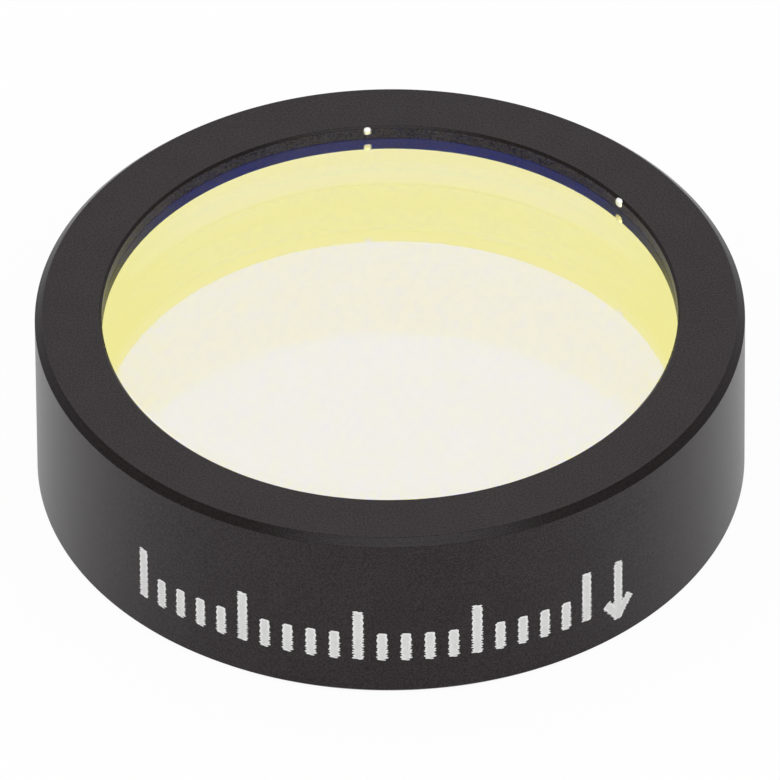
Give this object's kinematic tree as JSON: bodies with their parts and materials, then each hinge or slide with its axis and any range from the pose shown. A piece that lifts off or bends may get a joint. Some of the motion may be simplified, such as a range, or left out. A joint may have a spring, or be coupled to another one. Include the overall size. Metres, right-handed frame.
{
  "type": "optical bandpass filter",
  "caption": "Mounted optical bandpass filter: a coated glass plate in a black anodised aluminium ring with an engraved direction arrow.",
  "frame": {"origin": "centre of the housing's back face", "axes": "+Z along the optical axis, out of the front face that the light enters; the engraved mark on the barrel faces -Y"},
  "size_m": [0.0125, 0.0124, 0.0035],
  "materials": {
    "black_anodised": "matte",
    "coated_glass": "gloss"
  },
  "bodies": {
    "root": {"housing": "black_anodised", "filter_plate": "coated_glass", "retaining_ring": "black_anodised"}
  },
  "joints": []
}
